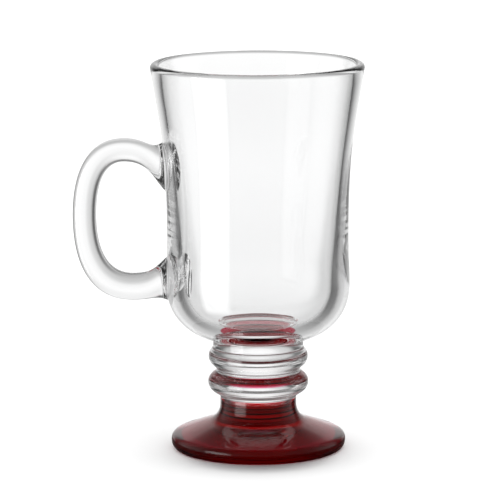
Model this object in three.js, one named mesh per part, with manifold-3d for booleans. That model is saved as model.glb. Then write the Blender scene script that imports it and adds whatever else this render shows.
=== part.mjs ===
// A footed glass mug for hot coffee drinks: a flared clear bowl with an ear-shaped handle, a short
// stem of a collar and two round beads, and a flared red foot, all joined hot at flat or curved seams.
// Millimetres, +Z up, the mug's axis on Z, the table at z = 0, the handle towards -X.

import * as THREE from 'three';
import { LoftGeometry } from 'three/addons/geometries/LoftGeometry.js';
import { mergeVertices } from 'three/addons/utils/BufferGeometryUtils.js';
import Module from 'manifold-3d';

// Foot, from the table up to the seam with the lower bead
const FOOT_RADIUS = 32.3;
const FOOT_HEIGHT = 18.2;
const FOOT_EDGE_HEIGHT = 3.3;
const FOOT_SHOULDER_HEIGHT = 5.2;
const FOOT_EDGE_ROUND = 1.9;
const FOOT_UNDERCUT = 2.6;
const STANDING_RING_WIDTH = 4.0;
const RECESS_DEPTH = 0.8;
const RECESS_SLOPE_WIDTH = 1.6;
const NECK_RADIUS = 14.15;
const NECK_DROP = 6.25;
const FLARE_ROUND = 5.0;

// Lower bead, upper bead and collar, stacked on the foot
const LOWER_BEAD_RADIUS = 18.65;
const LOWER_BEAD_NECK = 1.1;
const LOWER_BEAD_RISE = 5.65;
const LOWER_BEAD_FALL = 4.85;
const VALLEY_RADIUS = 15.7;
const UPPER_BEAD_RADIUS = 18.45;
const UPPER_BEAD_RISE = 4.8;
const UPPER_BEAD_FALL = 4.1;
const COLLAR_RADIUS = 16.8;
const COLLAR_HEIGHT = 2.4;

// Bowl, from the seam with the collar up to the rim
const BOWL_HEIGHT = 102.9;
const RIM_RADIUS = 39.4;
const RIM_WALL = 3.5;
const RIM_FLARE = THREE.MathUtils.degToRad(9.35);
const WAIST_RADIUS = 33.55;
const WAIST_HEIGHT = 38.65;
const BELLY_RADIUS = 34.0;
const BELLY_HEIGHT = 20.8;
const BELLY_WALL = 6.3;
const BASE_SLOPE = THREE.MathUtils.degToRad(15);
const FLOOR_THICKNESS = 3.9;
const CAVITY_DRAFT = THREE.MathUtils.degToRad(3.5);

// Handle, with heights above the bowl's seam and reaches outwards from the waist
const HANDLE_REACH = 34.65;
const HANDLE_WIDTH = 10.6;
const GRIP_HEIGHT = 46.2;
const GRIP_THICKNESS = 8.7;
const ARCH_HEIGHT = 74.9;
const ARCH_REACH = 15.65;
const ARCH_THICKNESS = 8.45;
const ARM_HEIGHT = 15.0;
const ARM_REACH = 12.75;
const ARM_THICKNESS = 9.75;
const UPPER_ROOT_TOP = 81.7;
const UPPER_ROOT_TOP_SLOPE = THREE.MathUtils.degToRad(-53);
const UPPER_ROOT_BOTTOM = 49.95;
const UPPER_ROOT_BOTTOM_SLOPE = THREE.MathUtils.degToRad(31);
const LOWER_ROOT_TOP = 36.6;
const LOWER_ROOT_TOP_SLOPE = THREE.MathUtils.degToRad(-39.6);
const LOWER_ROOT_BOTTOM = 11.7;
const LOWER_ROOT_BOTTOM_SLOPE = THREE.MathUtils.degToRad(29.3);
const ROOT_DEPTH = 6.0;
const SEAM_GAP = 0.3;

// How full the curves are: the share of each run along which a curve keeps its end direction
const BEAD_FULLNESS = 0.62;
const VALLEY_FULLNESS = 0.3;
const FLARE_FULLNESS = 0.36;
const WALL_FULLNESS = 0.4;
const WAIST_FULLNESS = 0.52;
const BELLY_FULLNESS = 0.61;
const BASE_FULLNESS = 0.52;
const CAVITY_FULLNESS = 0.36;
const CORNER_FULLNESS = 0.69;
const LOOP_FULLNESS = 0.645;
const ROOT_FULLNESS = 0.535;

const ROUND_STEPS = 48;
const CURVE_STEPS = 7;
const HANDLE_STEPS = 8;
const SECTION_STEPS = 16;
const MERGE_DISTANCE = 1e-4;

const wasm = await Module();
wasm.setup();

function glass(colour, roughness) {
  return new THREE.MeshStandardMaterial({ color: colour, roughness, metalness: 0 });
}

// A solid of revolution about Z from an outline of radius and height that starts and ends on the axis
function turned(points) {
  const geometry = new THREE.LatheGeometry(points, ROUND_STEPS);
  geometry.rotateX(Math.PI / 2);
  return geometry;
}

function toManifold(geometry) {
  geometry.deleteAttribute('normal');
  geometry.deleteAttribute('uv');
  const merged = mergeVertices(geometry, MERGE_DISTANCE);
  const mesh = new wasm.Mesh({
    numProp: 3,
    vertProperties: new Float32Array(merged.attributes.position.array),
    triVerts: new Uint32Array(merged.index.array),
  });
  mesh.merge();
  return new wasm.Manifold(mesh);
}

function toGeometry(manifold) {
  const mesh = manifold.getMesh();
  const geometry = new THREE.BufferGeometry();
  geometry.setAttribute('position', new THREE.BufferAttribute(mesh.vertProperties, 3));
  geometry.setIndex(new THREE.BufferAttribute(mesh.triVerts, 1));
  geometry.computeVertexNormals();
  return geometry;
}

// A smooth step in an outline that leaves and arrives straight up, from one radius to another
function step(path, fromRadius, fromHeight, toRadius, toHeight, leave, arrive) {
  const rise = toHeight - fromHeight;
  path.bezierCurveTo(
    fromRadius, fromHeight + leave * rise,
    toRadius, toHeight - arrive * rise,
    toRadius, toHeight,
  );
}

// The foot stands on a flat ring around a shallow flat recess. Its top is a low cone that rises
// into the neck, with a round edge.
function footOutline() {
  const standRadius = FOOT_RADIUS - FOOT_UNDERCUT;
  const ringInner = standRadius - STANDING_RING_WIDTH;
  const coneTop = FOOT_HEIGHT - NECK_DROP;
  const run = FOOT_RADIUS - NECK_RADIUS;
  const slope = Math.atan2(coneTop - FOOT_SHOULDER_HEIGHT, run);
  const flare = Math.min(FLARE_ROUND, NECK_DROP);
  const edge = FOOT_EDGE_ROUND;
  const path = new THREE.Path();
  path.moveTo(0, RECESS_DEPTH);
  path.lineTo(ringInner - RECESS_SLOPE_WIDTH, RECESS_DEPTH);
  path.lineTo(ringInner, 0);
  path.lineTo(standRadius, 0);
  path.quadraticCurveTo(FOOT_RADIUS, 0, FOOT_RADIUS, FOOT_EDGE_HEIGHT);
  path.quadraticCurveTo(
    FOOT_RADIUS, FOOT_SHOULDER_HEIGHT,
    FOOT_RADIUS - edge * Math.cos(slope), FOOT_SHOULDER_HEIGHT + edge * Math.sin(slope),
  );
  path.lineTo(NECK_RADIUS + flare * Math.cos(slope), coneTop - flare * Math.sin(slope));
  path.quadraticCurveTo(NECK_RADIUS, coneTop, NECK_RADIUS, coneTop + flare);
  path.lineTo(NECK_RADIUS, FOOT_HEIGHT);
  path.lineTo(0, FOOT_HEIGHT);
  return path;
}

function lowerBeadOutline() {
  const peak = LOWER_BEAD_NECK + LOWER_BEAD_RISE;
  const top = peak + LOWER_BEAD_FALL;
  const path = new THREE.Path();
  path.moveTo(0, 0);
  path.lineTo(NECK_RADIUS, 0);
  path.lineTo(NECK_RADIUS, LOWER_BEAD_NECK);
  step(path, NECK_RADIUS, LOWER_BEAD_NECK, LOWER_BEAD_RADIUS, peak, VALLEY_FULLNESS, BEAD_FULLNESS);
  step(path, LOWER_BEAD_RADIUS, peak, VALLEY_RADIUS, top, BEAD_FULLNESS, VALLEY_FULLNESS);
  path.lineTo(0, top);
  return path;
}

function upperBeadOutline() {
  const top = UPPER_BEAD_RISE + UPPER_BEAD_FALL;
  const path = new THREE.Path();
  path.moveTo(0, 0);
  path.lineTo(VALLEY_RADIUS, 0);
  step(path, VALLEY_RADIUS, 0, UPPER_BEAD_RADIUS, UPPER_BEAD_RISE, VALLEY_FULLNESS, BEAD_FULLNESS);
  step(path, UPPER_BEAD_RADIUS, UPPER_BEAD_RISE, COLLAR_RADIUS, top, BEAD_FULLNESS, VALLEY_FULLNESS);
  path.lineTo(0, top);
  return path;
}

function collarOutline() {
  const path = new THREE.Path();
  path.moveTo(0, 0);
  path.lineTo(COLLAR_RADIUS, 0);
  path.lineTo(COLLAR_RADIUS, COLLAR_HEIGHT);
  path.lineTo(0, COLLAR_HEIGHT);
  return path;
}

// The outside of the bowl from the collar's seam up to the fire-polished rim. The grow value moves
// the whole wall outwards, for the cut that lets the handle's roots sit against it.
function addBowlWall(path, grow) {
  const lip = RIM_WALL / 2;
  const lipHeight = BOWL_HEIGHT - lip;
  const lipCentre = RIM_RADIUS - lip;
  const wallTop = new THREE.Vector2(
    lipCentre + lip * Math.cos(RIM_FLARE),
    lipHeight - lip * Math.sin(RIM_FLARE),
  );
  const baseRun = BASE_FULLNESS * (BELLY_RADIUS - COLLAR_RADIUS);
  const flareRun = FLARE_FULLNESS * (wallTop.y - WAIST_HEIGHT);
  path.lineTo(COLLAR_RADIUS + grow, 0);
  path.bezierCurveTo(
    COLLAR_RADIUS + grow + baseRun * Math.cos(BASE_SLOPE), baseRun * Math.sin(BASE_SLOPE),
    BELLY_RADIUS + grow, BELLY_HEIGHT * (1 - BELLY_FULLNESS),
    BELLY_RADIUS + grow, BELLY_HEIGHT,
  );
  const belly = BELLY_RADIUS + grow;
  const waist = WAIST_RADIUS + grow;
  step(path, belly, BELLY_HEIGHT, waist, WAIST_HEIGHT, WALL_FULLNESS, WALL_FULLNESS);
  path.bezierCurveTo(
    WAIST_RADIUS + grow, WAIST_HEIGHT + WAIST_FULLNESS * (wallTop.y - WAIST_HEIGHT),
    wallTop.x + grow - flareRun * Math.sin(RIM_FLARE), wallTop.y - flareRun * Math.cos(RIM_FLARE),
    wallTop.x + grow, wallTop.y,
  );
}

function bowlOutline() {
  const lip = RIM_WALL / 2;
  const lipHeight = BOWL_HEIGHT - lip;
  const lipCentre = RIM_RADIUS - lip;
  const innerTop = new THREE.Vector2(
    lipCentre - lip * Math.cos(RIM_FLARE),
    lipHeight + lip * Math.sin(RIM_FLARE),
  );
  const innerBelly = BELLY_RADIUS - BELLY_WALL;
  const run = CAVITY_FULLNESS * (innerTop.y - BELLY_HEIGHT);
  const cornerDrop = CORNER_FULLNESS * (BELLY_HEIGHT - FLOOR_THICKNESS);
  const path = new THREE.Path();
  path.moveTo(0, 0);
  addBowlWall(path, 0);
  path.absarc(lipCentre, lipHeight, lip, -RIM_FLARE, Math.PI - RIM_FLARE, false);
  path.bezierCurveTo(
    innerTop.x - run * Math.sin(RIM_FLARE), innerTop.y - run * Math.cos(RIM_FLARE),
    innerBelly + run * Math.sin(CAVITY_DRAFT), BELLY_HEIGHT + run * Math.cos(CAVITY_DRAFT),
    innerBelly, BELLY_HEIGHT,
  );
  path.bezierCurveTo(
    innerBelly - cornerDrop * Math.sin(CAVITY_DRAFT), BELLY_HEIGHT - cornerDrop * Math.cos(CAVITY_DRAFT),
    innerBelly * CORNER_FULLNESS, FLOOR_THICKNESS,
    0, FLOOR_THICKNESS,
  );
  return path;
}

// The bowl's full outer volume, grown by the seam gap, which trims the handle's roots
function bowlVolume() {
  const path = new THREE.Path();
  path.moveTo(0, 0);
  addBowlWall(path, SEAM_GAP);
  path.lineTo(RIM_RADIUS + SEAM_GAP, BOWL_HEIGHT);
  path.lineTo(0, BOWL_HEIGHT);
  return turned(path.getPoints(CURVE_STEPS));
}

// A quarter of the ear's loop that leaves level and arrives upright
function levelToUpright(path, x0, z0, x1, z1) {
  const f = LOOP_FULLNESS;
  path.bezierCurveTo(x0 + f * (x1 - x0), z0, x1, z1 + f * (z0 - z1), x1, z1);
}

// A quarter of the ear's loop that leaves upright and arrives level
function uprightToLevel(path, x0, z0, x1, z1) {
  const f = LOOP_FULLNESS;
  path.bezierCurveTo(x0, z0 + f * (z1 - z0), x1 + f * (x0 - x1), z1, x1, z1);
}

// One side of a root in side view. It leaves the wall at its own height and slope, the slope counted
// upwards as it runs out, and arrives level at the ear's loop.
function rootCurve(rootHeight, rootSlope, loopX, loopHeight) {
  const rootX = ROOT_DEPTH - WAIST_RADIUS;
  const reach = ROOT_FULLNESS * (loopX - rootX);
  return new THREE.CubicBezierCurve(
    new THREE.Vector2(rootX, rootHeight),
    new THREE.Vector2(rootX + reach, rootHeight - reach * Math.tan(rootSlope)),
    new THREE.Vector2(loopX - reach, loopHeight),
    new THREE.Vector2(loopX, loopHeight),
  );
}

function reversed(curve) {
  return new THREE.CubicBezierCurve(curve.v3, curve.v2, curve.v1, curve.v0);
}

// One side of the ear in side view, from the upper root around the grip to the lower root
function earSide(upperRoot, lowerRoot, gripX) {
  const from = upperRoot.v3;
  const to = lowerRoot.v3;
  const path = new THREE.Path();
  path.moveTo(from.x, from.y);
  levelToUpright(path, from.x, from.y, gripX, GRIP_HEIGHT);
  uprightToLevel(path, gripX, GRIP_HEIGHT, to.x, to.y);
  return [upperRoot, ...path.curves, reversed(lowerRoot)];
}

// An oval ring across the ear between a point on its outer side and one on its inner side
function earSection(outer, inner) {
  const middle = outer.clone().add(inner).multiplyScalar(0.5);
  const half = outer.clone().sub(middle);
  const ring = [];
  for (let i = 0; i < SECTION_STEPS; i += 1) {
    const angle = (i / SECTION_STEPS) * 2 * Math.PI;
    const along = Math.cos(angle);
    const across = Math.sin(angle) * HANDLE_WIDTH / 2;
    ring.push(new THREE.Vector3(middle.x + half.x * along, across, middle.y + half.y * along));
  }
  return ring;
}

// The ear is an oval bar bent into a loop. Both roots run on into the wall, where the bowl's volume
// trims them.
function handleGeometry() {
  const arch = -(WAIST_RADIUS + ARCH_REACH);
  const arm = -(WAIST_RADIUS + ARM_REACH);
  const grip = -(WAIST_RADIUS + HANDLE_REACH);
  const outerSide = earSide(
    rootCurve(UPPER_ROOT_TOP, UPPER_ROOT_TOP_SLOPE, arch, ARCH_HEIGHT),
    rootCurve(LOWER_ROOT_BOTTOM, LOWER_ROOT_BOTTOM_SLOPE, arm, ARM_HEIGHT),
    grip,
  );
  const innerSide = earSide(
    rootCurve(UPPER_ROOT_BOTTOM, UPPER_ROOT_BOTTOM_SLOPE, arch, ARCH_HEIGHT - ARCH_THICKNESS),
    rootCurve(LOWER_ROOT_TOP, LOWER_ROOT_TOP_SLOPE, arm, ARM_HEIGHT + ARM_THICKNESS),
    grip + GRIP_THICKNESS,
  );
  const sections = [];
  outerSide.forEach((curve, stretch) => {
    const first = stretch === 0 ? 0 : 1;
    for (let i = first; i <= HANDLE_STEPS; i += 1) {
      const t = i / HANDLE_STEPS;
      sections.push(earSection(curve.getPoint(t), innerSide[stretch].getPoint(t)));
    }
  });
  const loft = new LoftGeometry(sections, { capStart: true, capEnd: true });
  const ear = new THREE.BufferGeometry().copy(loft);
  return toGeometry(toManifold(ear).subtract(toManifold(bowlVolume())));
}

function piece(name, geometry, material, height) {
  const mesh = new THREE.Mesh(geometry, material);
  mesh.name = name;
  mesh.position.z = height;
  return mesh;
}

const CLEAR = 0xe8eeec;
const RED = 0x7d0b14;
const POLISH = 0.04;

const lowerBeadBase = FOOT_HEIGHT;
const upperBeadBase = lowerBeadBase + LOWER_BEAD_NECK + LOWER_BEAD_RISE + LOWER_BEAD_FALL;
const collarBase = upperBeadBase + UPPER_BEAD_RISE + UPPER_BEAD_FALL;
const bowlBase = collarBase + COLLAR_HEIGHT;

const mug = new THREE.Group();
mug.add(
  piece('foot', turned(footOutline().getPoints(CURVE_STEPS)), glass(RED, POLISH), 0),
  piece('lower_bead', turned(lowerBeadOutline().getPoints(CURVE_STEPS)), glass(CLEAR, POLISH), lowerBeadBase),
  piece('upper_bead', turned(upperBeadOutline().getPoints(CURVE_STEPS)), glass(CLEAR, POLISH), upperBeadBase),
  piece('collar', turned(collarOutline().getPoints(CURVE_STEPS)), glass(CLEAR, POLISH), collarBase),
  piece('bowl', turned(bowlOutline().getPoints(CURVE_STEPS)), glass(CLEAR, POLISH), bowlBase),
  piece('handle', handleGeometry(), glass(CLEAR, POLISH), bowlBase),
);

export default mug;
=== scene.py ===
import math
import bpy
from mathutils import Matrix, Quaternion, Vector
from mathutils.geometry import interpolate_bezier


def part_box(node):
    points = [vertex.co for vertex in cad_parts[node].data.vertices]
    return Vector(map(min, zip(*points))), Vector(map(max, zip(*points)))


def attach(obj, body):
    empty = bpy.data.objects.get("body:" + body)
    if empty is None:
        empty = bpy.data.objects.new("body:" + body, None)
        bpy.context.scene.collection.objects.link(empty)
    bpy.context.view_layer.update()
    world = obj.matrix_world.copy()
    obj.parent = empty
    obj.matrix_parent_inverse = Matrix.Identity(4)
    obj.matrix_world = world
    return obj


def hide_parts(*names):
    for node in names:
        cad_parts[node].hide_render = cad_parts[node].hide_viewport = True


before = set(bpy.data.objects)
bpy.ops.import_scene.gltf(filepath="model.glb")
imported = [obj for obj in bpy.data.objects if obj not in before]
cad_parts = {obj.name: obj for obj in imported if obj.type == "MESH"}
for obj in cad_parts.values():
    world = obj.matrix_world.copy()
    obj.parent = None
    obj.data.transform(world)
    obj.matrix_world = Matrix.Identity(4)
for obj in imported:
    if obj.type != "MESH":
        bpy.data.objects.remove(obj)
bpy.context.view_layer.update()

# Foot
# The red base that the mug stands on: a pressed disc of glass that is coloured all through, with a round
# edge, a low cone on top, a short neck and a stippled ring underneath. The stem is joined to its neck hot.
MM = 0.001
ROUND_STEPS = 192
OUTLINE_STEPS = 16
MERGE_REACH = 0.001 * MM
SEAM_REACH = 0.02 * MM
SEAM_FLATNESS = 0.999
GLASS_IOR = 1.52
WAVE_LENGTH = 0.016
WIPE_LENGTH = 0.03
WIPE_ROUGHNESS = 0.01


class Outline:
    """Half of a turned piece's section, drawn in radius and height from knot to knot, in mm."""

    def __init__(self, radius, height):
        start = self.point(radius, height)
        self.knots = [[start, start, start]]

    def point(self, radius, height):
        return Vector((radius * MM, 0, height * MM))

    def curve(self, leave, arrive, end):
        self.knots[-1][2] = self.point(*leave)
        self.knots.append([self.point(*arrive), self.point(*end), self.point(*end)])
        return self

    def last(self):
        return self.knots[-1][1].x / MM, self.knots[-1][1].z / MM

    def line(self, radius, height):
        start = self.last()
        third = (radius - start[0]) / 3, (height - start[1]) / 3
        leave = start[0] + third[0], start[1] + third[1]
        return self.curve(leave, (radius - third[0], height - third[1]), (radius, height))

    def bend(self, corner, end):
        """Rounds a corner that the lines before and after it would meet at."""
        start = self.last()
        leave = start[0] + (corner[0] - start[0]) * 2 / 3, start[1] + (corner[1] - start[1]) * 2 / 3
        arrive = end[0] + (corner[0] - end[0]) * 2 / 3, end[1] + (corner[1] - end[1]) * 2 / 3
        return self.curve(leave, arrive, end)

    def swell(self, end, leave, arrive):
        """Goes from an upright stretch to another, as a bead's side does."""
        start = self.last()
        rise = end[1] - start[1]
        return self.curve((start[0], start[1] + leave * rise), (end[0], end[1] - arrive * rise), end)


class Wire:
    """A socket in a material's nodes. Python's operators on it add Math nodes."""

    def __init__(self, tree, socket=None):
        self.tree = tree
        self.socket = socket

    def node(self, kind, settings, inputs, output=0):
        """Adds any other node: its settings first, then the values or links of its sockets."""
        made = self.tree.nodes.new(kind)
        for name, value in settings.items():
            if name == "stops":
                for extra in value[2:]:
                    made.color_ramp.elements.new(1)
                for stop, (position, light) in zip(made.color_ramp.elements, value):
                    stop.position = position
                    stop.color = (light, light, light, 1)
            else:
                setattr(made, name, value)
        for name, value in inputs.items():
            if isinstance(value, Wire):
                self.tree.links.new(value.socket, made.inputs[name])
            else:
                made.inputs[name].default_value = value
        return Wire(self.tree, made.outputs[output])

    def math(self, operation, one, two=0.0):
        return self.node("ShaderNodeMath", {"operation": operation}, {0: one, 1: two})

    def clamped(self):
        """The value, kept between 0 and 1."""
        return self.math("MINIMUM", self.math("MAXIMUM", self, 0), 1)

    def into(self, node, name):
        self.tree.links.new(self.socket, node.inputs[name])

    def __add__(self, other):
        return self.math("ADD", self, other)

    def __sub__(self, other):
        return self.math("SUBTRACT", self, other)

    def __rsub__(self, other):
        return self.math("SUBTRACT", other, self)

    def __mul__(self, other):
        return self.math("MULTIPLY", self, other)

    def __truediv__(self, other):
        return self.math("DIVIDE", self, other)

    def __rtruediv__(self, other):
        return self.math("DIVIDE", other, self)

    def __lt__(self, other):
        return self.math("LESS_THAN", self, other)

    def __gt__(self, other):
        return self.math("GREATER_THAN", self, other)

    __radd__ = __add__
    __rmul__ = __mul__


def place_on(material):
    """The place on the piece, as one wire and as its three parts."""
    place = Wire(material.node_tree).node("ShaderNodeTexCoord", {}, {}, "Object")
    parts = [place.node("ShaderNodeSeparateXYZ", {}, {0: place}, axis) for axis in "XYZ"]
    return place, parts


def off_axis(x, y):
    """How far a place is from the mug's axis, in mm."""
    return x.math("SQRT", x * x + y * y) / MM


def pressed_glass(name, tint, wiped_tint, wave_depth):
    """Glass with the shallow waves of a pressed piece and faint marks where it was wiped dry."""
    material = bpy.data.materials.new(name)
    material.use_nodes = True
    shader = material.node_tree.nodes["Principled BSDF"]
    shader.inputs["IOR"].default_value = GLASS_IOR
    shader.inputs["Transmission Weight"].default_value = 1.0
    place = place_on(material)[0]
    waves = place.node(
        "ShaderNodeTexNoise", {}, {"Vector": place, "Scale": 1 / WAVE_LENGTH, "Detail": 1.0}, "Fac"
    )
    wiped = place.node(
        "ShaderNodeTexNoise",
        {},
        {"Vector": place, "Scale": 1 / WIPE_LENGTH, "Detail": 5.0, "Distortion": 1.2},
        "Fac",
    )
    skin = place.node("ShaderNodeBump", {}, {"Height": waves, "Distance": wave_depth}, "Normal")
    skin.into(shader, "Normal")
    (WIPE_ROUGHNESS * wiped * wiped).into(shader, "Roughness")
    colour = place.node(
        "ShaderNodeMix",
        {"data_type": "RGBA"},
        {"Factor": wiped, "A": (*tint, 1), "B": (*wiped_tint, 1)},
        "Result",
    )
    colour.into(shader, "Base Color")
    return material


def crease_around_selected_faces():
    """Keeps the edge of a joined face sharp, so that its neighbours' shading stays clean."""
    bpy.ops.object.mode_set(mode="EDIT")
    bpy.ops.mesh.select_mode(type="FACE")
    bpy.ops.mesh.region_to_loop()
    bpy.ops.mesh.mark_sharp()
    bpy.ops.object.mode_set(mode="OBJECT")


def turned(name, outline, skin, seam, seam_heights):
    """Spins an outline about the mug's axis. Flat faces at the seam heights get the seam's material."""
    bpy.ops.object.select_all(action="DESELECT")
    bpy.ops.curve.primitive_bezier_curve_add(location=(0, 0, 0))
    piece = bpy.context.object
    piece.name = name
    spline = piece.data.splines[0]
    spline.resolution_u = OUTLINE_STEPS
    spline.bezier_points.add(len(outline.knots) - 2)
    for point, (arrive, at, leave) in zip(spline.bezier_points, outline.knots):
        point.handle_left_type = point.handle_right_type = "FREE"
        point.handle_left, point.co, point.handle_right = arrive, at, leave
    bpy.ops.object.convert(target="MESH")
    piece = bpy.context.object
    bpy.ops.object.mode_set(mode="EDIT")
    bpy.ops.mesh.select_all(action="SELECT")
    bpy.ops.mesh.spin(steps=ROUND_STEPS, angle=2 * math.pi, center=(0, 0, 0), axis=(0, 0, 1))
    bpy.ops.mesh.select_all(action="SELECT")
    bpy.ops.mesh.remove_doubles(threshold=MERGE_REACH)
    bpy.ops.mesh.normals_make_consistent(inside=False)
    bpy.ops.mesh.select_all(action="DESELECT")
    bpy.ops.object.mode_set(mode="OBJECT")
    bpy.ops.object.shade_smooth()
    piece.data.materials.append(skin)
    piece.data.materials.append(seam)
    for face in piece.data.polygons:
        flat = abs(face.normal.z) > SEAM_FLATNESS
        at_seam = [abs(face.center.z - height * MM) < SEAM_REACH for height in seam_heights]
        face.select = flat and any(at_seam)
        face.material_index = int(face.select)
    crease_around_selected_faces()
    return piece


FOOT_RADIUS = 32.3
FOOT_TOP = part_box("foot")[1].z / MM
NECK_RADIUS = 14.15
CONE_TOP = 11.95
SHOULDER = 5.2
NECK_FLARE = 5.0
EDGE_HEIGHT = 3.3
EDGE_ROUND = 1.9
RECESS = 0.8
RECESS_LEAVE = 18.0
RECESS_ARRIVE = 22.0
STAND_INNER = 26.9
STAND_OUTER = 29.2
UNDERSIDE_TOP = RECESS + 0.1
SCUFF_HEIGHT = 0.12
SCUFF_ROUGHNESS = 0.25
SCRATCHES_PER_METRE = 900.0
STIPPLE_FROM = 11.0
STIPPLE_FULL = 16.0
STIPPLE_END = 26.8
STIPPLE_ROUGHNESS = 0.4
RED_SHEEN = 0.4
RED_ABSORPTION = 420.0
RED = (0.907, 0.0, 0.34)
RED_SKIN = (1.0, 0.5, 0.56)
RED_WIPED_SKIN = (1.0, 0.66, 0.7)
RED_WAVES = 0.2 * MM
SEAM_EDGE = 0.0005

red_glass = pressed_glass("foot_red_glass", RED_SKIN, RED_WIPED_SKIN, RED_WAVES)
red_tree = red_glass.node_tree
absorbed = Wire(red_tree).node(
    "ShaderNodeVolumeAbsorption", {}, {"Color": (*RED, 1), "Density": RED_ABSORPTION}, "Volume"
)
absorbed.into(red_tree.nodes["Material Output"], "Volume")
red_shader = red_tree.nodes["Principled BSDF"]
red_shader.inputs["Specular Tint"].default_value = (RED_SHEEN, RED_SHEEN, RED_SHEEN, 1)
place, (x, y, z) = place_on(red_glass)
(z < (FOOT_TOP - SEAM_EDGE) * MM).into(red_shader, "Alpha")
wiped = Wire(red_tree, red_shader.inputs["Roughness"].links[0].from_socket)
scratches = place.node(
    "ShaderNodeTexNoise", {}, {"Vector": place, "Scale": SCRATCHES_PER_METRE, "Detail": 3.0}, "Fac"
)
scuffed = (z < SCUFF_HEIGHT * MM) * scratches * SCUFF_ROUGHNESS
radius = off_axis(x, y)
into_ring = ((radius - STIPPLE_FROM) / (STIPPLE_FULL - STIPPLE_FROM)).clamped()
stippled = (z < UNDERSIDE_TOP * MM) * (radius < STIPPLE_END) * into_ring * STIPPLE_ROUGHNESS
(wiped + scuffed + stippled).into(red_shader, "Roughness")

cone = math.atan2(CONE_TOP - SHOULDER, FOOT_RADIUS - NECK_RADIUS)
foot_outline = (
    Outline(0, RECESS)
    .curve((RECESS_LEAVE, RECESS), (RECESS_ARRIVE, 0), (STAND_INNER, 0))
    .line(STAND_OUTER, 0)
    .bend((FOOT_RADIUS, 0), (FOOT_RADIUS, EDGE_HEIGHT))
    .bend(
        (FOOT_RADIUS, SHOULDER),
        (FOOT_RADIUS - EDGE_ROUND * math.cos(cone), SHOULDER + EDGE_ROUND * math.sin(cone)),
    )
    .line(NECK_RADIUS + NECK_FLARE * math.cos(cone), CONE_TOP - NECK_FLARE * math.sin(cone))
    .bend((NECK_RADIUS, CONE_TOP), (NECK_RADIUS, CONE_TOP + NECK_FLARE))
    .line(NECK_RADIUS, FOOT_TOP)
    .line(0, FOOT_TOP)
)
foot = turned("foot_glass", foot_outline, red_glass, red_glass, [FOOT_TOP])
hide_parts("foot")
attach(foot, "root")

# Lower bead
# The first round bead of the stem: a gather of clear glass turned while hot, joined to the foot's neck
# below and to the next bead above. The joined faces let light through as if they weren't there.
BEAD_FULL = 0.62
VALLEY_FULL = 0.3
LOWER_PEAK = (18.65, 24.95)
VALLEY = (15.7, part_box("lower_bead")[1].z / MM)
NECK_TOP = 19.3
CLEAR_SKIN = (0.992, 0.995, 0.996)
CLEAR_WIPED_SKIN = (0.998, 0.999, 1.0)
CLEAR_WAVES = 0.04 * MM

clear_glass = pressed_glass("stem_clear_glass", CLEAR_SKIN, CLEAR_WIPED_SKIN, CLEAR_WAVES)
hot_seam = bpy.data.materials.new("hot_seam")
hot_seam.use_nodes = True
hot_seam.node_tree.nodes["Principled BSDF"].inputs["Alpha"].default_value = 0.0

lower_outline = (
    Outline(0, FOOT_TOP)
    .line(NECK_RADIUS, FOOT_TOP)
    .line(NECK_RADIUS, NECK_TOP)
    .swell(LOWER_PEAK, VALLEY_FULL, BEAD_FULL)
    .swell(VALLEY, BEAD_FULL, VALLEY_FULL)
    .line(0, VALLEY[1])
)
lower_bead = turned("lower_bead_glass", lower_outline, clear_glass, hot_seam, [FOOT_TOP, VALLEY[1]])
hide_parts("lower_bead")
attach(lower_bead, "root")

# Upper bead
# The second bead of the stem, the same kind of clear gather, turned down to the collar's width at its
# top, where the collar is joined to it hot.
UPPER_PEAK = (18.45, 34.6)
COLLAR_RADIUS = 16.8
COLLAR_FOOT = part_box("collar")[0].z / MM

upper_outline = (
    Outline(0, VALLEY[1])
    .line(*VALLEY)
    .swell(UPPER_PEAK, VALLEY_FULL, BEAD_FULL)
    .swell((COLLAR_RADIUS, COLLAR_FOOT), BEAD_FULL, VALLEY_FULL)
    .line(0, COLLAR_FOOT)
)
upper_bead = turned("upper_bead_glass", upper_outline, clear_glass, hot_seam, [VALLEY[1], COLLAR_FOOT])
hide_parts("upper_bead")
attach(upper_bead, "root")

# Collar
# A short straight ring of clear glass between the stem's upper bead and the bowl's base, as wide as the
# bead's top, and joined hot to both.
BOWL_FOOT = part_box("bowl")[0].z / MM

collar_outline = (
    Outline(0, COLLAR_FOOT)
    .line(COLLAR_RADIUS, COLLAR_FOOT)
    .line(COLLAR_RADIUS, BOWL_FOOT)
    .line(0, BOWL_FOOT)
)
collar = turned("collar_glass", collar_outline, clear_glass, hot_seam, [COLLAR_FOOT, BOWL_FOOT])
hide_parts("collar")
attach(collar, "root")

# Bowl
# The thick-walled bowl of clear glass: pressed in a mould, flared at the top, with a fire-polished rim.
# Its wall is solid down to the collar, and the cavity's floor is rounded into the wall.
RIM_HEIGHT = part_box("bowl")[1].z / MM
RIM_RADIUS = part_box("bowl")[1].x / MM
LIP = 1.75
RIM_FLARE = math.radians(9.35)
WAIST = (33.55, 79.75)
BELLY = (34.0, 61.9)
BELLY_FULL = 0.61
BASE_SLOPE = math.radians(15)
BASE_FULL = 0.52
WAIST_FULL = 0.4
FLARE_LEAVE = 0.52
FLARE_ARRIVE = 0.36
FLOOR_HEIGHT = 45.0
CORNER_FULL = 0.69
INNER_BELLY = 27.7
DRAFT = math.radians(3.5)
ARC = 4 / 3 * math.tan(math.pi / 8)

lip_centre = RIM_RADIUS - LIP, RIM_HEIGHT - LIP


def lip_point(angle, ahead=0.0):
    """A point of the rim's round lip, or one ahead of it on its tangent."""
    out = math.cos(angle) - ahead * math.sin(angle)
    up = math.sin(angle) + ahead * math.cos(angle)
    return lip_centre[0] + LIP * out, lip_centre[1] + LIP * up


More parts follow.
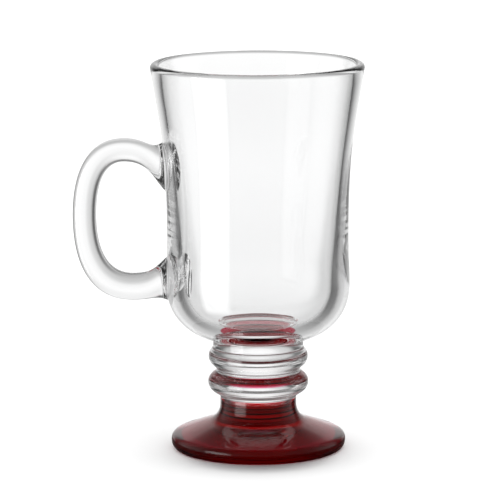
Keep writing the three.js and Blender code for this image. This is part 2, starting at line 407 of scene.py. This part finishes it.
wall_top = lip_point(-RIM_FLARE)
inner_top = lip_point(math.pi - RIM_FLARE)
base_run = BASE_FULL * (BELLY[0] - COLLAR_RADIUS)
flare_run = FLARE_ARRIVE * (wall_top[1] - WAIST[1])
cavity_run = FLARE_ARRIVE * (inner_top[1] - BELLY[1])
corner_run = CORNER_FULL * (BELLY[1] - FLOOR_HEIGHT)
bowl_outline = (
    Outline(0, BOWL_FOOT)
    .line(COLLAR_RADIUS, BOWL_FOOT)
    .curve(
        (COLLAR_RADIUS + base_run * math.cos(BASE_SLOPE), BOWL_FOOT + base_run * math.sin(BASE_SLOPE)),
        (BELLY[0], BELLY[1] - BELLY_FULL * (BELLY[1] - BOWL_FOOT)),
        BELLY,
    )
    .swell(WAIST, WAIST_FULL, WAIST_FULL)
    .curve(
        (WAIST[0], WAIST[1] + FLARE_LEAVE * (wall_top[1] - WAIST[1])),
        (wall_top[0] - flare_run * math.sin(RIM_FLARE), wall_top[1] - flare_run * math.cos(RIM_FLARE)),
        wall_top,
    )
)
for quarter in range(2):
    start = quarter * math.pi / 2 - RIM_FLARE
    end = start + math.pi / 2
    bowl_outline.curve(lip_point(start, ARC), lip_point(end, -ARC), lip_point(end))
bowl_outline.curve(
    (inner_top[0] - cavity_run * math.sin(RIM_FLARE), inner_top[1] - cavity_run * math.cos(RIM_FLARE)),
    (INNER_BELLY + cavity_run * math.sin(DRAFT), BELLY[1] + cavity_run * math.cos(DRAFT)),
    (INNER_BELLY, BELLY[1]),
)
bowl_outline.curve(
    (INNER_BELLY - corner_run * math.sin(DRAFT), BELLY[1] - corner_run * math.cos(DRAFT)),
    (INNER_BELLY * CORNER_FULL, FLOOR_HEIGHT),
    (0, FLOOR_HEIGHT),
)
bowl_glass = pressed_glass("bowl_clear_glass", CLEAR_SKIN, CLEAR_WIPED_SKIN, CLEAR_WAVES)
bowl = turned("bowl_glass", bowl_outline, bowl_glass, hot_seam, [BOWL_FOOT])
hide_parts("bowl")
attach(bowl, "root")

# Handle
# An ear of clear glass: a bar with a flat outer side and a round inner side, bent into a loop while
# hot. Its two ends are flared and pressed onto the bowl's wall, where the glass runs together.
HANDLE_WIDTH = 10.6
GRIP_OUTER = (-68.2, 87.3)
GRIP_INNER = (-59.5, 87.3)
ARCH_TOP = (-49.2, 116.0)
ARCH_UNDER = (-49.2, 107.55)
ARM_OVER = (-46.3, 65.85)
ARM_UNDER = (-46.3, 56.1)
UPPER_SEAT_TOP = (122.8, -53)
UPPER_SEAT_BOTTOM = (91.05, 31)
LOWER_SEAT_TOP = (77.7, -39.6)
LOWER_SEAT_BOTTOM = (52.8, 29.3)
ROOT_X = -27.55
ROOT_FULL = 0.535
LOOP_FULL = 0.645
ROOT_FILLET = 2.4
ROOT_RUN = 12.0
ROOT_CROWDING = 1.6
WIDEST = 0.3
OUTER_SQUARENESS = 3.2
INNER_SQUARENESS = 2.2
EAR_SIDES = 96
EAR_STATIONS = 128
CAP_RINGS = 6
ROOT_SHARE = 0.24
SEAT_HALVINGS = 40
HALF_BLANK = 0.5
CAP_REACH = 1e-6


def cubic(a, b, c, d, t):
    return tuple(
        (1 - t) ** 3 * p + 3 * (1 - t) ** 2 * t * q + 3 * (1 - t) * t * t * r + t ** 3 * s
        for p, q, r, s in zip(a, b, c, d)
    )


def loop_side(level, upright, t):
    """A quarter of the loop that leaves level and arrives upright."""
    leave = level[0] + LOOP_FULL * (upright[0] - level[0]), level[1]
    arrive = upright[0], upright[1] + LOOP_FULL * (level[1] - upright[1])
    return cubic(level, leave, arrive, upright, t)


wall_line = [
    point
    for one, two in zip(bowl_outline.knots[1:4], bowl_outline.knots[2:5])
    for point in interpolate_bezier(one[1], one[2], two[0], two[1], OUTLINE_STEPS + 1)
]


def wall_radius(height):
    """The bowl's outer radius at a height."""
    for low, high in zip(wall_line, wall_line[1:]):
        if low.z <= height * MM <= high.z and high.z > low.z:
            part = (height * MM - low.z) / (high.z - low.z)
            return (low.x + part * (high.x - low.x)) / MM
    return RIM_RADIUS


class Root:
    """One end of the ear, from its seat on the wall to the loop, between its outer and inner side.

    A side is given by the height and the slope in degrees that it starts with inside the wall, and by the
    point of the loop that it runs to.
    """

    def __init__(self, *sides):
        self.sides = sides
        self.seats = [self.seat(side) for side in sides]
        (x1, self.z1), (x2, self.z2) = self.points(0)
        self.x1 = x1
        self.lean = (x2 - x1) / (self.z2 - self.z1)

    def side_point(self, side, t):
        height, slope, loop = side
        reach = ROOT_FULL * (loop[0] - ROOT_X)
        leave = ROOT_X + reach, height - reach * math.tan(math.radians(slope))
        return cubic((ROOT_X, height), leave, (loop[0] - reach, loop[1]), loop, t)

    def seat(self, side):
        """How far along a side comes out of the bowl's wall."""
        inside, outside = 0.0, 1.0
        for halving in range(SEAT_HALVINGS):
            t = (inside + outside) / 2
            x, z = self.side_point(side, t)
            if -x < wall_radius(z):
                inside = t
            else:
                outside = t
        return outside

    def points(self, share):
        run = share ** ROOT_CROWDING
        return [self.side_point(side, seat + (1 - seat) * run) for side, seat in zip(self.sides, self.seats)]

    def chord(self, height):
        """Where a straight line between the two seats is at a height."""
        return self.x1 + self.lean * (height - self.z1)


upper_root = Root((*UPPER_SEAT_TOP, ARCH_TOP), (*UPPER_SEAT_BOTTOM, ARCH_UNDER))
lower_root = Root((*LOWER_SEAT_BOTTOM, ARM_UNDER), (*LOWER_SEAT_TOP, ARM_OVER))


def signed_power(value, power):
    return math.copysign(abs(value) ** power, value)


def ear_point(share, angle, fill):
    """A point of the ear: a share of its run, an angle round its section, and 1 on its skin."""
    along_root = min(share, 1 - share) / ROOT_SHARE
    root = upper_root if share < 0.5 else lower_root
    if along_root <= 1:
        outer, inner = root.points(along_root)
    else:
        t = (along_root - 1) / (0.5 / ROOT_SHARE - 1)
        ends = (ARCH_TOP, ARCH_UNDER) if share < 0.5 else (ARM_UNDER, ARM_OVER)
        outer, inner = loop_side(ends[0], GRIP_OUTER, t), loop_side(ends[1], GRIP_INNER, t)
    middle = (outer[0] + inner[0]) / 2, (outer[1] + inner[1]) / 2
    half = (outer[0] - inner[0]) / 2, (outer[1] - inner[1]) / 2
    clear = max(0.0, root.chord(middle[1]) - middle[0]) if along_root <= 1 else ROOT_RUN
    seated = 1 - min(1.0, clear / ROOT_RUN)
    seated = seated * seated * (3 - 2 * seated)
    outward = math.cos(angle) > 0
    squareness = OUTER_SQUARENESS if outward else INNER_SQUARENESS
    squareness += (2 - squareness) * seated
    widest = WIDEST * (1 - seated)
    along = widest + (1 - widest if outward else 1 + widest) * signed_power(math.cos(angle), 2 / squareness)
    across = signed_power(math.sin(angle), 2 / squareness)
    width = HANDLE_WIDTH / 2
    if clear < ROOT_FILLET:
        width += ROOT_FILLET - math.sqrt(ROOT_FILLET ** 2 - (ROOT_FILLET - clear) ** 2)
    x = middle[0] + half[0] * along * fill
    y = width * across * fill
    z = middle[1] + half[1] * along * fill
    if along_root <= 1:
        x += seated * (-math.sqrt(wall_radius(z) ** 2 - y * y) - root.chord(z))
    return Vector((x * MM, y * MM, z * MM))


# The ear's blank is a cylinder: its height becomes the ear's run, and its round becomes the section.
bpy.ops.object.select_all(action="DESELECT")
bpy.ops.mesh.primitive_cylinder_add(
    vertices=EAR_SIDES, radius=1, depth=2 * HALF_BLANK, end_fill_type="TRIFAN", location=(0, 0, 0)
)
handle = bpy.context.object
handle.name = "handle_glass"


def subdivide_edges(chosen, cuts):
    """Cuts the ear's edges that a test on their two ends picks."""
    bpy.ops.object.mode_set(mode="EDIT")
    bpy.ops.mesh.select_mode(type="EDGE")
    bpy.ops.mesh.select_all(action="DESELECT")
    bpy.ops.object.mode_set(mode="OBJECT")
    for edge in handle.data.edges:
        edge.select = chosen(*[handle.data.vertices[i].co for i in edge.vertices])
    bpy.ops.object.mode_set(mode="EDIT")
    bpy.ops.mesh.subdivide(number_cuts=cuts)
    bpy.ops.object.mode_set(mode="OBJECT")


subdivide_edges(lambda a, b: abs(a.z - b.z) > HALF_BLANK, EAR_STATIONS - 1)
subdivide_edges(lambda a, b: min(a.xy.length, b.xy.length) < 0.5, CAP_RINGS - 1)
handle.data.materials.append(clear_glass)
handle.data.materials.append(hot_seam)
for face in handle.data.polygons:
    face.select = abs(face.center.z) > HALF_BLANK - CAP_REACH
    face.material_index = int(face.select)
for vertex in handle.data.vertices:
    share = min(1.0, max(0.0, vertex.co.z + HALF_BLANK))
    vertex.co = ear_point(share, math.atan2(vertex.co.y, vertex.co.x), min(1.0, vertex.co.xy.length))
crease_around_selected_faces()
bpy.ops.object.mode_set(mode="EDIT")
bpy.ops.mesh.select_all(action="SELECT")
bpy.ops.mesh.normals_make_consistent(inside=False)
bpy.ops.object.mode_set(mode="OBJECT")
bpy.ops.object.shade_smooth()
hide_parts("handle")
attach(handle, "root")

# Under the two roots the bowl's wall has no skin of its own, because there the glass runs together.
place, (x, y, z) = place_on(bowl_glass)
away_from_handle = x > 0
pads = []
for root in (upper_root, lower_root):
    up = (z - (root.z1 + root.z2) / 2 * MM) / (abs(root.z1 - root.z2) / 2 * MM)
    out = y / ((HANDLE_WIDTH / 2 + ROOT_FILLET) * MM)
    pads.append(up * up + out * out > 1)
outside_pads = pads[0] * pads[1]
wall_shows = x.math("MAXIMUM", away_from_handle, outside_pads)
wall_shows.into(bowl_glass.node_tree.nodes["Principled BSDF"], "Alpha")

# Camera
# The photograph's point of view: a long lens a little over a metre away that looks slightly down at the
# mug. Its place, aim and roll are fitted to the rim, the wall and the foot.
CAMERA_PLACE = (0, -1.270, 0.2985)
CAMERA_AIM = (-0.0029, 0, 0.0743)
CAMERA_ROLL = math.radians(-0.19)
FOCAL_PIXELS = 3492
IMAGE_PIXELS = 500
SENSOR = 36

camera_data = bpy.data.cameras.new("camera")
camera = bpy.data.objects.new("camera", camera_data)
bpy.context.collection.objects.link(camera)
camera_data.sensor_width = SENSOR
camera_data.lens = FOCAL_PIXELS / IMAGE_PIXELS * SENSOR
camera.location = CAMERA_PLACE
camera.rotation_mode = "QUATERNION"
aim = Vector(CAMERA_AIM) - camera.location
camera.rotation_quaternion = aim.to_track_quat("-Z", "Y") @ Quaternion((0, 0, 1), CAMERA_ROLL)
bpy.context.scene.camera = camera

# Paper floor
# A sheet of pale paper in even room light, which the mug stands on and throws its soft shadow onto. The
# glass doesn't see it, because what the glass shows is the tent.
PAPER = (0.9, 0.9, 0.9, 1)
FLOOR_SIZE = 6
FLOOR_DROP = 0.05 * MM
ROOM_LIGHT = 1.4


def shown_to(thing, *rays):
    """Shows a thing of the studio to these kinds of rays alone."""
    for ray in ("camera", "diffuse", "glossy", "transmission", "volume_scatter", "shadow"):
        setattr(thing, "visible_" + ray, ray in rays)


paper = bpy.data.materials.new("pale_paper")
paper.use_nodes = True
paper_shader = paper.node_tree.nodes["Principled BSDF"]
paper_shader.inputs["Base Color"].default_value = PAPER
paper_shader.inputs["Roughness"].default_value = 1.0
paper_shader.inputs["Specular IOR Level"].default_value = 0.0

bpy.ops.object.select_all(action="DESELECT")
bpy.ops.mesh.primitive_plane_add(size=FLOOR_SIZE, location=(0, 0, -FLOOR_DROP))
floor = bpy.context.object
floor.name = "floor"
floor.data.materials.append(paper)
shown_to(floor, "camera", "diffuse", "shadow")

world = bpy.data.worlds.new("studio")
bpy.context.scene.world = world
world.use_nodes = True
world.node_tree.nodes["Background"].inputs["Color"].default_value = (1, 1, 1, 1)
world.node_tree.nodes["Background"].inputs["Strength"].default_value = ROOM_LIGHT

# Cards at the foot
# Three round cards that each work on one kind of light: a glowing one under the red glass, which is painted
# light for the lit table with painted shade in its middle, a dark one that the foot's edge mirrors, which is
# painted shade for the table near the foot, and a flag level with the cone that deepens the shadow in front.
CARD_SIDES = 96
CONTACT_RADIUS = 0.033
CONTACT_DROP = 0.04 * MM
CONTACT_LIGHT = 0.42
PAINTED_SHADE_RADIUS = 8
PAINTED_SHADE_FADE = 14
SHADE_RADIUS = 0.07
SHADE_DROP = 0.045 * MM
SHADE_GREY = (0.03, 0.03, 0.03, 1)
FLAG_RADIUS = 0.029
FLAG_PLACE = (0, -0.0135, 0.0095)


def glow(name, strength):
    """A material that only shines, with its emission node."""
    material = bpy.data.materials.new(name)
    material.use_nodes = True
    tree = material.node_tree
    tree.nodes.remove(tree.nodes["Principled BSDF"])
    shine = Wire(tree).node("ShaderNodeEmission", {}, {"Strength": strength}, "Emission")
    shine.into(tree.nodes["Material Output"], "Surface")
    return material, shine.socket.node


def round_card(name, radius, place, material):
    """A card of the studio, lying level."""
    bpy.ops.object.select_all(action="DESELECT")
    bpy.ops.mesh.primitive_circle_add(vertices=CARD_SIDES, radius=radius, fill_type="NGON", location=place)
    card = bpy.context.object
    card.name = name
    card.data.materials.append(material)
    return card


# A glowing card, not lit paper: painted light for the table under the red glass, with painted shade in its
# middle where the foot shades the table.
painted_table_light, emission = glow("painted_table_light", CONTACT_LIGHT)
place, (x, y, z) = place_on(painted_table_light)
((off_axis(x, y) - PAINTED_SHADE_RADIUS) / PAINTED_SHADE_FADE).clamped().into(emission, "Color")
contact = round_card("painted_light_card", CONTACT_RADIUS, (0, 0, -CONTACT_DROP), painted_table_light)
shown_to(contact, "transmission")

# The shade card is painted shade: a dark card seen only in reflections, standing for the shaded table near
# the foot.
shade_paper = bpy.data.materials.new("shade_paper")
shade_paper.use_nodes = True
shade_paper.node_tree.nodes["Principled BSDF"].inputs["Base Color"].default_value = SHADE_GREY
shade = round_card("table_shade", SHADE_RADIUS, (0, 0, -SHADE_DROP), shade_paper)
shown_to(shade, "glossy")
flag = round_card("shadow_flag", FLAG_RADIUS, FLAG_PLACE, shade_paper)
shown_to(flag, "diffuse", "shadow")

# Tent and window
# A tent of white cloth round the mug, brightest behind it and dark at its sides, so that the glass gets
# its dark outlines, and a window beside the camera for the highlights. They hang on the camera.
MUG_MIDDLE = (0, 0, 0.07)
TENT_RADIUS = 4
TENT_BRIGHTEST = 2.0
TINY = 1e-9
# The tent's light in each direction, by degrees from the line of sight behind the mug.
TOWARD_RIGHT = [
    (0, 1.09), (12, 1.0), (16, 0.82), (20, 0.7), (26, 0.6), (31, 0.5), (36, 0.25), (39, 0.1), (42, 0.04),
    (54, 0.04), (60, 0.5), (66, 0.8), (90, 0.8), (115, 0.35), (180, 0.25),
]
TOWARD_LEFT = [
    (0, 1.09), (12, 1.0), (16, 0.86), (20, 0.75), (26, 0.68), (31, 0.58), (36, 0.28), (39, 0.1), (43, 0.05),
    (50, 0.15), (57, 0.5), (64, 0.85), (90, 0.85), (115, 0.4), (180, 0.3),
]
TOWARD_TOP = [
    (0, 1.09), (10, 1.0), (20, 0.95), (34, 1.02), (41, 0.92), (46, 0.4), (52, 0.2), (66, 0.1), (95, 0.0),
    (120, 0.2), (180, 0.2),
]
TOWARD_TABLE = [
    (0, 1.09), (10, 0.98), (16, 0.74), (22, 0.6), (50, 0.5), (70, 0.5), (90, 0.8), (100, 1.0),
    (122, 0.6), (150, 0.3), (180, 0.2),
]
WINDOW_AZIMUTH = math.radians(-56)
WINDOW_ELEVATION = math.radians(-7)
WINDOW_DISTANCE = 1.2
WINDOW_WIDTH = math.radians(44)
WINDOW_HEIGHT = math.radians(66)
WINDOW_MIDDLE = Vector((0, 0, 0.05))
WINDOW_SOFT_EDGE = 0.2
WINDOW_LIGHT = 5.2
WINDOW_LIGHT_INSIDE = 0.9

bpy.ops.object.select_all(action="DESELECT")
bpy.ops.mesh.primitive_uv_sphere_add(segments=64, ring_count=32, radius=TENT_RADIUS, location=MUG_MIDDLE)
tent = bpy.context.object
tent.name = "tent"
tent.rotation_mode = "QUATERNION"
tent.rotation_quaternion = camera.rotation_quaternion
tent_cloth, emission = glow("tent_cloth", TENT_BRIGHTEST)
tent.data.materials.append(tent_cloth)
place = place_on(tent_cloth)[0]
away = place.node("ShaderNodeVectorMath", {"operation": "NORMALIZE"}, {0: place}, "Vector")
right, up, back = [away.node("ShaderNodeSeparateXYZ", {}, {0: away}, axis) for axis in "XYZ"]
turn = back.math("ARCCOSINE", 0 - back) / math.pi
round_sight = right * right + up * up + TINY
shares = [
    (right.math("MAXIMUM", right, 0), TOWARD_RIGHT),
    (right.math("MAXIMUM", 0 - right, 0), TOWARD_LEFT),
    (up.math("MAXIMUM", up, 0), TOWARD_TOP),
    (up.math("MAXIMUM", 0 - up, 0), TOWARD_TABLE),
]
light = 0
for share, falloff in shares:
    stops = [(degrees / 180, value / TENT_BRIGHTEST) for degrees, value in falloff]
    level = turn.node("ShaderNodeValToRGB", {"stops": stops}, {"Fac": turn}, "Color")
    light = share * share / round_sight * level + light
light.into(emission, "Color")
shown_to(tent, "glossy", "transmission")


def lit_window(name, strength):
    """The window as a glowing card with soft edges, beside the camera."""
    level = math.cos(WINDOW_ELEVATION)
    away = Vector((
        math.sin(WINDOW_AZIMUTH) * level,
        -math.cos(WINDOW_AZIMUTH) * level,
        math.sin(WINDOW_ELEVATION),
    ))
    bpy.ops.object.select_all(action="DESELECT")
    bpy.ops.mesh.primitive_plane_add(size=1, location=away * WINDOW_DISTANCE + WINDOW_MIDDLE)
    card = bpy.context.object
    card.name = name
    reach = 2 * WINDOW_DISTANCE
    card.scale = (reach * math.tan(WINDOW_WIDTH / 2), reach * math.tan(WINDOW_HEIGHT / 2), 1)
    card.rotation_mode = "QUATERNION"
    card.rotation_quaternion = (-away).to_track_quat("-Z", "Y")
    shine, emission = glow(name, strength)
    place, (x, y, z) = place_on(shine)
    across = x.math("MINIMUM", (0.5 - x.math("ABSOLUTE", x)) / WINDOW_SOFT_EDGE, 1)
    along = y.math("MINIMUM", (0.5 - y.math("ABSOLUTE", y)) / WINDOW_SOFT_EDGE, 1)
    (across * along).into(emission, "Color")
    card.data.materials.append(shine)
    return card


window = lit_window("window", WINDOW_LIGHT)
shown_to(window, "glossy")
window_inside = lit_window("window_inside", WINDOW_LIGHT_INSIDE)
shown_to(window_inside, "transmission")

bpy.context.view_layer.update()
for lit in (tent, window, window_inside):
    kept_place = lit.matrix_world.copy()
    lit.parent = camera
    lit.matrix_parent_inverse = camera.matrix_world.inverted()
    lit.matrix_world = kept_place

# Picture
# The photograph's plain tones, and enough bounces for light to pass through all the walls of the glass.
scene = bpy.context.scene
scene.view_settings.view_transform = "Standard"
scene.cycles.max_bounces = 40
scene.cycles.transmission_bounces = 40
scene.cycles.glossy_bounces = 24
scene.cycles.transparent_max_bounces = 64
